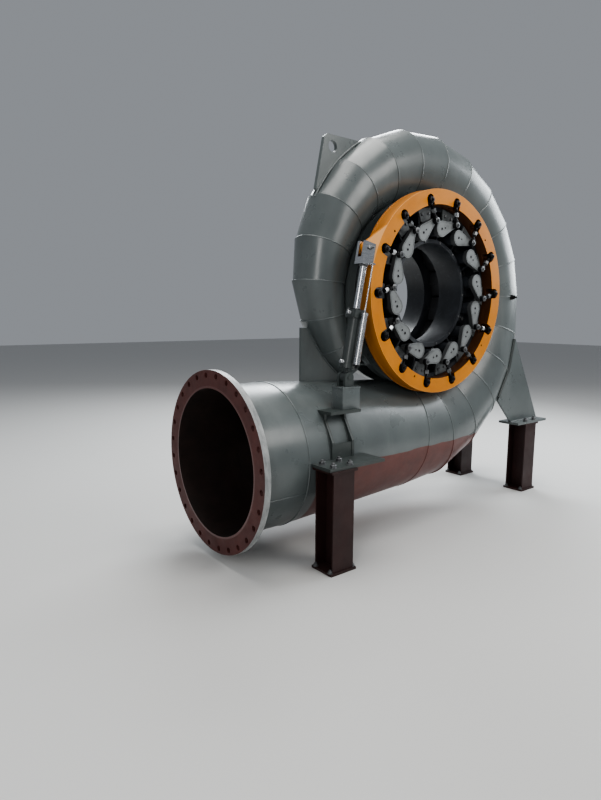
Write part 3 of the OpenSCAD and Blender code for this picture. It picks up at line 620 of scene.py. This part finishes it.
def leverRim(bm):  # a thin raised line along the lever's edge, open in the middle
    front = machine["leverFront"]
    teardrop(bm, leverTrim["edge"], front - leverTrim["sink"], front + leverTrim["rise"])
    bmesh.ops.inset_region(bm, faces=[max(bm.faces, key=faceHeight)], thickness=leverTrim["width"], depth=0)
    broad = [f for f in bm.faces if len(f.verts) > 20]
    ends = [max(broad, key=faceHeight), min(broad, key=faceHeight)]
    bmesh.ops.delete(bm, geom=ends, context="FACES_ONLY")
    lip = [e for e in bm.edges if e.is_boundary and e.verts[0].co.z > front + leverTrim["sink"]]
    grown = bmesh.ops.extrude_edge_only(bm, edges=lip)["geom"]
    bmesh.ops.translate(bm, verts=[g for g in grown if isinstance(g, bmesh.types.BMVert)],
                        vec=(0, 0, -leverTrim["rise"] - leverTrim["sink"]))


for i in range(1, machine["stems"] + 1):
    bm = bmesh.new()
    leverRim(bm)
    for x, hole in leverTrim["holes"]:  # thin bushings round the lever's two holes
        low, high = -leverTrim["bushingSink"], leverTrim["bushingRise"]
        foot, top = hole + leverTrim["bushing"], hole + leverTrim["bushingTop"]
        bushing = [(hole, low), (foot, low), (top, high), (hole, high)]
        addSpin(bm, move(x, 0, machine["leverFront"]), bushing, 28)
    finishPiece("leverRim_%02d" % i, bm, wornSteel, "vane_%02d" % i, toWorld @ leverPlace(i))
print("levers dressed")


# links

linkTrim = {  # radius or width, then low and high
    "washer": (0.0225, 0.0138, 0.0170), "collar": (0.0155, 0.0165, 0.0205), "head": (0.019, 0.020, 0.030),
    "nut": (0.034, -0.013, 0.013), "lockNut": (0.0185, 0.013, 0.0165), "brightNuts": (1, 5, 10, 11, 12),
}
thread = {"crest": 0.0092, "root": 0.0080, "length": 0.0016, "pitch": 0.0017, "turns": 26, "start": 0.040}

for i in range(1, machine["stems"] + 1):
    body = "link_%02d" % i
    place, span = linkPlace(i)
    bm = bmesh.new()
    eye = move(span, 0, 0)
    addRound(bm, eye, *linkTrim["washer"], bevel=0.001)
    addRound(bm, eye, *linkTrim["collar"], bevel=0.0012)
    addHex(bm, eye @ turn(13 * i), *linkTrim["head"])
    finishPiece("linkEyeBolt_%02d" % i, bm, wornSteel, body, toWorld @ place)
    bm = bmesh.new()
    middle = move(span / 2, 0, 0) @ turn(90, "Y")
    addHex(bm, middle @ turn(9 * i), *linkTrim["nut"])
    addRound(bm, middle, *linkTrim["lockNut"], bevel=0.001, sides=24)
    nutFinish = zincBright if i in linkTrim["brightNuts"] else wornSteel
    finishPiece("linkNut_%02d" % i, bm, nutFinish, body, toWorld @ place)
    bm = bmesh.new()
    for n in range(thread["turns"]):
        x = span / 2 - thread["start"] + n * thread["pitch"]
        bmesh.ops.create_cone(bm, cap_ends=True, segments=14, radius1=thread["crest"], radius2=thread["root"],
                              depth=thread["length"], matrix=move(x, 0, 0) @ turn(90, "Y"))
    finishPiece("linkThread_%02d" % i, bm, linkBlack, body, toWorld @ place)
print("links dressed")


# head cover and rear cover

cover = {
    "boltCircle": 0.594, "boltPlane": -0.120, "boltSize": 0.020, "boltSpread": 6.0,
    "rimCircle": 0.400, "rimBolts": 14, "rimScrew": 0.012,
    "glandCircle": 0.040, "glandPlane": 0.0398, "glandScrew": 0.007,
    "rearCircle": 0.630, "rearPlane": -0.490, "rearBolts": 24, "rearTurn": 7, "rearSize": 0.020,
}

bm = bmesh.new()
for i in range(1, machine["stems"] + 1):
    for off in (-cover["boltSpread"], cover["boltSpread"]):
        addBolt(bm, stemTurn(i, off) @ move(0, cover["boltCircle"], cover["boltPlane"]), cover["boltSize"])
finishPiece("coverBolts", bm, wornSteel, "case")

bm = bmesh.new()
for i in range(cover["rimBolts"]):
    place = turn(360 / cover["rimBolts"] * (i + 0.5)) @ move(0, cover["rimCircle"], 0)
    addSocketScrew(bm, place, cover["rimScrew"])
finishPiece("boreRimScrews", bm, wornSteel, "case")

gearPlates = {
    "inner": 0.546, "outer": 0.646, "halfInner": 5.4, "halfOuter": 6.6, "low": 0.0158, "high": 0.0280,
    "edge": 0.0015, "boltCircle": 0.600, "boltSpread": 3.5, "boltSize": 0.014,
}
halfPitch = 180 / machine["stems"]


def gearPlate(bm, centre):  # flat plate behind the levers, between two stems
    corners = [polar(gearPlates["inner"], centre - gearPlates["halfInner"]),
               polar(gearPlates["inner"], centre + gearPlates["halfInner"]),
               polar(gearPlates["outer"], centre + gearPlates["halfOuter"]),
               polar(gearPlates["outer"], centre - gearPlates["halfOuter"])]
    verts = [bm.verts.new(c + Vector((0, 0, gearPlates["low"]))) for c in corners]
    grown = bmesh.ops.extrude_face_region(bm, geom=[bm.faces.new(verts)])["geom"]
    top = [g for g in grown if isinstance(g, bmesh.types.BMVert)]
    bmesh.ops.translate(bm, verts=top, vec=(0, 0, gearPlates["high"] - gearPlates["low"]))
    edges = list({e for v in verts + top for e in v.link_edges})
    bmesh.ops.bevel(bm, geom=edges, offset=gearPlates["edge"], segments=1, profile=0.5, affect="EDGES",
                    material=-1)


bm = bmesh.new()
for i in range(1, machine["stems"] + 1):
    gearPlate(bm, stemAngle(i) - halfPitch)
finishPiece("gearPlates", bm, platePaint, "case")

bm = bmesh.new()
for i in range(1, machine["stems"] + 1):
    for off in (-gearPlates["boltSpread"], gearPlates["boltSpread"]):
        place = stemTurn(i, off - halfPitch) @ move(0, gearPlates["boltCircle"], gearPlates["high"])
        addBolt(bm, place, gearPlates["boltSize"])
finishPiece("gearPlateBolts", bm, wornSteel, "case")

bm = bmesh.new()
for i in range(1, machine["stems"] + 1):
    place = stemTurn(i) @ move(0, machine["stemCircle"], 0)
    for off in range(45, 360, 90):
        screw = place @ turn(off) @ move(cover["glandCircle"], 0, cover["glandPlane"])
        addSocketScrew(bm, screw, cover["glandScrew"])
finishPiece("stemGlandScrews", bm, wornSteel, "case")

bm = bmesh.new()
for i in range(cover["rearBolts"]):
    around = turn(360 / cover["rearBolts"] * i + cover["rearTurn"])
    place = around @ move(0, cover["rearCircle"], cover["rearPlane"]) @ turn(180, "X")
    addBolt(bm, place, cover["rearSize"])
finishPiece("rearCoverBolts", bm, wornSteel, "case")
print("covers dressed")


# servomotor

servo = {
    "length": 0.884, "lean": 11.3, "plane": 0.0975, "pinCircle": 0.853, "pinTurn": 250.8,
    "headTop": 0.459, "headBolts": 0.037, "headBolt": 0.012,
    "barrel": 0.0425, "bands": ((0.088, 0.0445), (0.404, 0.0465)), "bandHalf": 0.004, "bandCrown": 0.001,
}
lugPin = polar(servo["pinCircle"], servo["pinTurn"])
lean = math.radians(servo["lean"])
servoEye = lugPin - Vector((math.sin(lean), math.cos(lean), 0)) * servo["length"]
servoPlace = move(servoEye.x, servoEye.y, servo["plane"]) @ turn(-servo["lean"])
alongY = turn(-90, "X")  # shapes built on Z then run up the rod, or stand upright

bm = bmesh.new()
for x in (-1, 1):
    for z in (-1, 1):
        corner = move(x * servo["headBolts"], servo["headTop"], z * servo["headBolts"])
        addBolt(bm, corner @ alongY, servo["headBolt"], washer=False)
finishPiece("headBolts", bm, wornSteel, "servo_barrel", toWorld @ servoPlace)

bm = bmesh.new()
for h, r in servo["bands"]:
    half, inner = servo["bandHalf"], servo["barrel"]
    band = [(inner, -half), (r, -half), (r + servo["bandCrown"], 0), (r, half), (inner, half)]
    addSpin(bm, move(0, h, 0) @ alongY, band, 48)
finishPiece("barrelBands", bm, barrelPaint, "servo_barrel", toWorld @ servoPlace)

wiper = [(0.0262, 0), (0.036, 0), (0.036, 0.006), (0.033, 0.009), (0.0262, 0.009)]
bm = bmesh.new()
addSpin(bm, move(0, servo["headTop"], 0) @ alongY, wiper, 40)
finishPiece("rodWiper", bm, linkBlack, "servo_barrel", toWorld @ servoPlace)

ports = {  # side and height of each, then radius or width, low and high
    "places": ((-0.049, 0.432), (-0.042, 0.100)),
    "boss": (0.016, -0.002, 0.014), "plug": (0.027, 0.013, 0.027), "end": (0.009, 0.027, 0.032),
}
bm = bmesh.new()
for x, h in ports["places"]:
    port = move(x, h, 0) @ turn(-90, "Y")
    addRound(bm, port, *ports["boss"], bevel=0.001, sides=24)
    addHex(bm, port, *ports["plug"])
    addRound(bm, port, *ports["end"], bevel=0.001, sides=20)
finishPiece("servoPorts", bm, zincBright, "servo_barrel", toWorld @ servoPlace)

sensor = {  # cap and gland are radius, low and high
    "x": 0.012, "z": 0.075, "low": 0.092, "high": 0.437,
    "cap": (0.0215, -0.010, 0.001), "gland": (0.010, -0.026, -0.009),
    "collar": [(0.0065, -0.012), (0.0225, -0.012), (0.0225, 0.004), (0.018, 0.008), (0.0065, 0.008)],
    "straps": (0.123, 0.432), "strap": [(0.0222, -0.009), (0.0245, -0.009), (0.0245, 0.009), (0.0222, 0.009)],
}


def onSensor(h):
    return move(sensor["x"], h, sensor["z"]) @ alongY


bm = bmesh.new()
addSpin(bm, onSensor(sensor["high"]), sensor["collar"], 32)
addRound(bm, onSensor(sensor["low"]), *sensor["cap"], bevel=0.001)
addRound(bm, onSensor(sensor["low"]), *sensor["gland"], bevel=0.001, sides=20)
finishPiece("sensorCaps", bm, linkBlack, "servo_barrel", toWorld @ servoPlace)

bm = bmesh.new()
for h in sensor["straps"]:
    addSpin(bm, onSensor(h), sensor["strap"], 32)
finishPiece("sensorStraps", bm, zincBright, "servo_barrel", toWorld @ servoPlace)

clevis = {  # cap and lockNut are radius, low and high
    "pinEnd": 0.0385, "cap": (0.0175, 0.0, 0.0042), "tabTurn": 20, "tab": (0.050, 0.016, 0.004),
    "tabAt": (0.004, 0, 0.0055), "screwAt": (0.024, 0, 0.0075), "screw": 0.008,
    "lockNutDrop": 0.118, "lockNut": (0.0325, -0.010, 0.001),
}
bm = bmesh.new()
pinEnd = move(0, servo["length"], clevis["pinEnd"])
addBox(bm, pinEnd @ move(*clevis["tabAt"]) @ turn(clevis["tabTurn"]), clevis["tab"], 0.001)
addSocketScrew(bm, pinEnd @ turn(clevis["tabTurn"]) @ move(*clevis["screwAt"]), clevis["screw"])
addRound(bm, pinEnd, *clevis["cap"], bevel=0.0008)
lockNut = move(0, servo["length"] - clevis["lockNutDrop"], 0) @ alongY
addRound(bm, lockNut, *clevis["lockNut"], bevel=0.002, sides=6)
finishPiece("clevisTrim", bm, wornSteel, "servo_rod", toWorld @ servoPlace)

blockCase = {
    "width": 0.158, "front": -0.162, "back": -0.051, "height": 0.139, "cap": 0.009, "lip": 0.003,
    "screw": 0.010, "screwIn": (0.014, 0.012),
}
blockLow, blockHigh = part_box("servo_block")
blockDepth = blockCase["back"] - blockCase["front"]
blockMiddle = move((blockLow[0] + blockHigh[0]) / 2, blockCase["front"] + blockDepth / 2, blockLow[2])
capTop = blockCase["height"] + blockCase["cap"]
bm = bmesh.new()
addBox(bm, blockMiddle @ move(0, 0, blockCase["height"] / 2),
       (blockCase["width"], blockDepth, blockCase["height"]), 0.002)
addBox(bm, blockMiddle @ move(0, -blockCase["lip"] / 2, blockCase["height"] + blockCase["cap"] / 2),
       (blockCase["width"] + 2 * blockCase["lip"], blockDepth + blockCase["lip"], blockCase["cap"]), 0.0015)
inX, inY = blockCase["screwIn"]
for x in (-1, 1):
    for y in (-1, 1):
        corner = move(x * (blockCase["width"] / 2 - inX), y * (blockDepth / 2 - inY), capTop)
        addSocketScrew(bm, blockMiddle @ corner, blockCase["screw"])
finishPiece("servoBlockCase", bm, casePaint, "case", Matrix.Identity(4))
print("servomotor dressed")


# feet and stands

feet = {
    "right": {"x": 1.370, "off": 0.345, "top": -1.140, "bolts": (-0.070, 0.070)},
    "left": {"x": -1.240, "off": 0.606, "top": -1.111, "bolts": (-0.045, 0.060)},
    "boltX": 0.070, "bolt": 0.024, "anchorX": 0.094, "anchorZ": 0.072, "anchorRise": 0.016, "anchor": 0.018,
}

bm = bmesh.new()
for side in (1, -1):
    for foot in (feet["right"], feet["left"]):
        for dx in (-feet["boltX"], feet["boltX"]):
            for off in foot["bolts"]:
                z = machine["midPlane"] + side * (foot["off"] + off)
                addStudWithNut(bm, move(foot["x"] + dx, foot["top"], z) @ alongY, feet["bolt"])
finishPiece("baseBolts", bm, wornSteel, "case")

bm = bmesh.new()
for side in (1, -1):
    for foot in (feet["right"], feet["left"]):
        for dx in (-feet["anchorX"], feet["anchorX"]):
            for dz in (-feet["anchorZ"], feet["anchorZ"]):
                z = machine["midPlane"] + side * foot["off"] + dz
                place = move(foot["x"] + dx, machine["floor"] + feet["anchorRise"], z)
                addStudWithNut(bm, place @ alongY, feet["anchor"])
finishPiece("anchorBolts", bm, wornSteel, "case")


def edgeAlong(k, t, off, cut):  # in the spiral's plane, midway between its surface at two depths, off and cut
    s0, s1 = (machine["courseStart"] + (k + n) * machine["courseAngle"] for n in (0, 1))
    a, b = courseCentre(s0), courseCentre(s1)
    along = (b - a).normalized()
    out = Vector((along.y, -along.x, 0))
    r = (1 - t) * sectionRadius(s0) + t * sectionRadius(s1)
    reach = (math.sqrt(r * r - off * off) + math.sqrt(r * r - cut * cut)) / 2
    point = a + (b - a) * t + out * reach
    return Vector((point.x, point.y, 0))


footWeld = {
    "rise": 0.001, "face": 0.010, "plateX": (1.152, 1.370, 1.588), "plateBead": 0.006,
    "plateSides": (((1.590, -1.120), (1.110, -0.300)), ((0.700, -0.700), (1.150, -1.120))), "margin": 0.006,
    "filletCourses": range(1, 5), "filletSteps": 16, "filletAt": (0.349, 0.335),
    "filletOff": 0.350, "fillet": 0.0145,
    "gussetX": (-1.171, -0.996), "gussetZ": (0.490, 0.508), "gussetBead": 0.005,
    "arcFace": 0.0105, "arcBead": 0.0055, "arcs": ((1, range(4, 41, 3)), (-1, range(4, 36, 3))),
}


def onFoot(p):  # between the two slanted sides of a right foot's plate
    return all((b[0] - a[0]) * (p.y - a[1]) - (b[1] - a[1]) * (p.x - a[0]) > footWeld["margin"]
               for a, b in footWeld["plateSides"])


bm = bmesh.new()
for side in (1, -1):  # welds where the right feet's plates stand on their base plates
    for face in (-footWeld["face"], footWeld["face"]):
        y = feet["right"]["top"] + footWeld["rise"]
        z = machine["midPlane"] + side * feet["right"]["off"] + face
        addSweep(bm, [(x, y, z) for x in footWeld["plateX"]], footWeld["plateBead"])
for side in (1, -1):  # thick fillets close the slope between these plates and the spiral
    path = [edgeAlong(k, n / footWeld["filletSteps"], *footWeld["filletAt"])
            for k in footWeld["filletCourses"] for n in range(footWeld["filletSteps"])]
    z = machine["midPlane"] + side * footWeld["filletOff"]
    addSweep(bm, [p + Vector((0, 0, z)) for p in path if onFoot(p)], footWeld["fillet"], 10)
for side in (1, -1):  # welds where the left gussets stand on their base plates
    for x in footWeld["gussetX"]:
        for face in (-footWeld["face"], footWeld["face"]):
            y = feet["left"]["top"] + footWeld["rise"]
            addSweep(bm, [(x + face, y, machine["midPlane"] + side * off) for off in footWeld["gussetZ"]],
                     footWeld["gussetBead"])
for side, degrees in footWeld["arcs"]:  # arcs where the gussets meet the inlet pipe
    for x in footWeld["gussetX"]:
        beyond = x + machine["inletReach"] - machine["pipeStraight"]
        r = machine["pipeRadius"] - beyond * machine["pipeTaper"]
        for face in (-footWeld["arcFace"], footWeld["arcFace"]):
            arc = [math.radians(a) for a in degrees]
            addSweep(bm, [(x + face, machine["pipeHeight"] + r * math.sin(a),
                           machine["midPlane"] + side * r * math.cos(a)) for a in arc], footWeld["arcBead"])
finishPiece("footWelds", bm, footPaintShaded, "case", sharp=60)
print("feet dressed")


# lifting plate, nose web and tap

plateWeld = {
    "lug": {"turns": range(205, 236, 3), "out": 0.003, "face": 0.0165, "bead": 0.007},
    "web": {"turns": range(288, 314, 3), "out": 0.004, "face": 0.0120, "bead": 0.006},
}

bm = bmesh.new()
for weld in plateWeld.values():
    foot = [polar(machine["caseInner"] + 2 * sectionRadius(s) + weld["out"], s) for s in weld["turns"]]
    for face in (-weld["face"], weld["face"]):
        addSweep(bm, [p + Vector((0, 0, machine["midPlane"] + face)) for p in foot], weld["bead"])
finishPiece("plateWelds", bm, casePaint, "case", sharp=60)

tap = {  # radius or width, then low and high
    "place": (1.055, -0.005, 0.043), "boss": (0.022, -0.004, 0.016), "nut": (0.030, 0.015, 0.034),
    "end": (0.010, 0.034, 0.052),
}
bm = bmesh.new()
tapPlace = move(*tap["place"])
addRound(bm, tapPlace, *tap["boss"], bevel=0.001, sides=24)
addHex(bm, tapPlace, *tap["nut"])
addRound(bm, tapPlace, *tap["end"], bevel=0.002, sides=20)
finishPiece("pressureTap", bm, linkBlack, "case")
print("plates dressed")


# floor, light and camera

studio = {
    "floorSize": 30, "floorDrop": 0.0005, "floor": (0.55, 0.55, 0.54, 1), "floorRough": 0.7,
    "sky": (0.78, 0.82, 0.88, 1), "skyStrength": 0.32,
}
floorMesh = bpy.data.meshes.new("studioFloor")
bm = bmesh.new()
bmesh.ops.create_grid(bm, x_segments=1, y_segments=1, size=studio["floorSize"],
                      matrix=move(0, 0, machine["floor"] - studio["floorDrop"]))
bm.to_mesh(floorMesh)
bm.free()
studioFloor = bpy.data.objects.new("studioFloor", floorMesh)
bpy.context.scene.collection.objects.link(studioFloor)
floorPaint = bpy.data.materials.new("floorPaint")
floorPaint.use_nodes = True
floorShader = floorPaint.node_tree.nodes["Principled BSDF"]
floorShader.inputs["Base Color"].default_value = studio["floor"]
floorShader.inputs["Roughness"].default_value = studio["floorRough"]
floorMesh.materials.append(floorPaint)

world = bpy.data.worlds.new("studio")
bpy.context.scene.world = world
world.use_nodes = True
world.node_tree.nodes["Background"].inputs["Color"].default_value = studio["sky"]
world.node_tree.nodes["Background"].inputs["Strength"].default_value = studio["skyStrength"]


def areaLight(name, place, aim, size, power, colour):
    light = bpy.data.lights.new(name, "AREA")
    light.shape = "RECTANGLE"
    light.size, light.size_y = size
    light.energy = power
    light.color = colour
    lamp = bpy.data.objects.new(name, light)
    lamp.location = place
    lamp.rotation_euler = (Vector(aim) - Vector(place)).to_track_quat("-Z", "Y").to_euler()
    bpy.context.scene.collection.objects.link(lamp)


areaLight("roofLight", (-0.8, 0.6, 5.2), (-0.2, 0.3, 0), (5, 4), 330, (1.0, 0.98, 0.95))
areaLight("backWindow", (2.6, 4.6, 3.6), (-0.6, 0.2, -0.6), (5, 2.5), 420, (0.93, 0.97, 1.0))
areaLight("sideWindow", (5.2, -0.6, 1.8), (0.5, 0.2, 0.1), (3.5, 3), 190, (0.92, 0.97, 1.0))
areaLight("doorLight", (1.4, -5.6, 3.2), (0.0, 0, -0.1), (4, 3), 215, (1.0, 0.98, 0.95))
areaLight("leftWindow", (-5.4, -3.4, 1.2), (-0.6, -0.1, -0.2), (1.1, 3), 70, (1.0, 0.98, 0.96))

view = {  # metres and degrees; focal length and picture height in pixels
    "place": (-3.617, -2.967, -0.170), "yaw": 38.13, "pitch": -8.42, "roll": 0.29,
    "focal": 574.19, "height": 800,
}
cameraData = bpy.data.cameras.new("photoCamera")
cameraData.sensor_width = 36
cameraData.lens = view["focal"] * cameraData.sensor_width / view["height"]
cameraData.clip_start, cameraData.clip_end = 0.05, 100
camera = bpy.data.objects.new("photoCamera", cameraData)
yaw, pitch, roll = (math.radians(view[k]) for k in ("yaw", "pitch", "roll"))
forward = Vector((math.sin(yaw) * math.cos(pitch), math.cos(yaw) * math.cos(pitch), math.sin(pitch)))
level = Vector((math.cos(yaw), -math.sin(yaw), 0))
above = level.cross(forward)
right = level * math.cos(roll) + above * math.sin(roll)
up = above * math.cos(roll) - level * math.sin(roll)
axes = Matrix((right, up, -forward)).transposed().to_4x4()
camera.matrix_world = Matrix.Translation(view["place"]) @ axes
bpy.context.scene.collection.objects.link(camera)
bpy.context.scene.camera = camera
bpy.context.scene.view_settings.view_transform = "AgX"
bpy.context.scene.view_settings.look = "AgX - Medium High Contrast"
print("stage set")
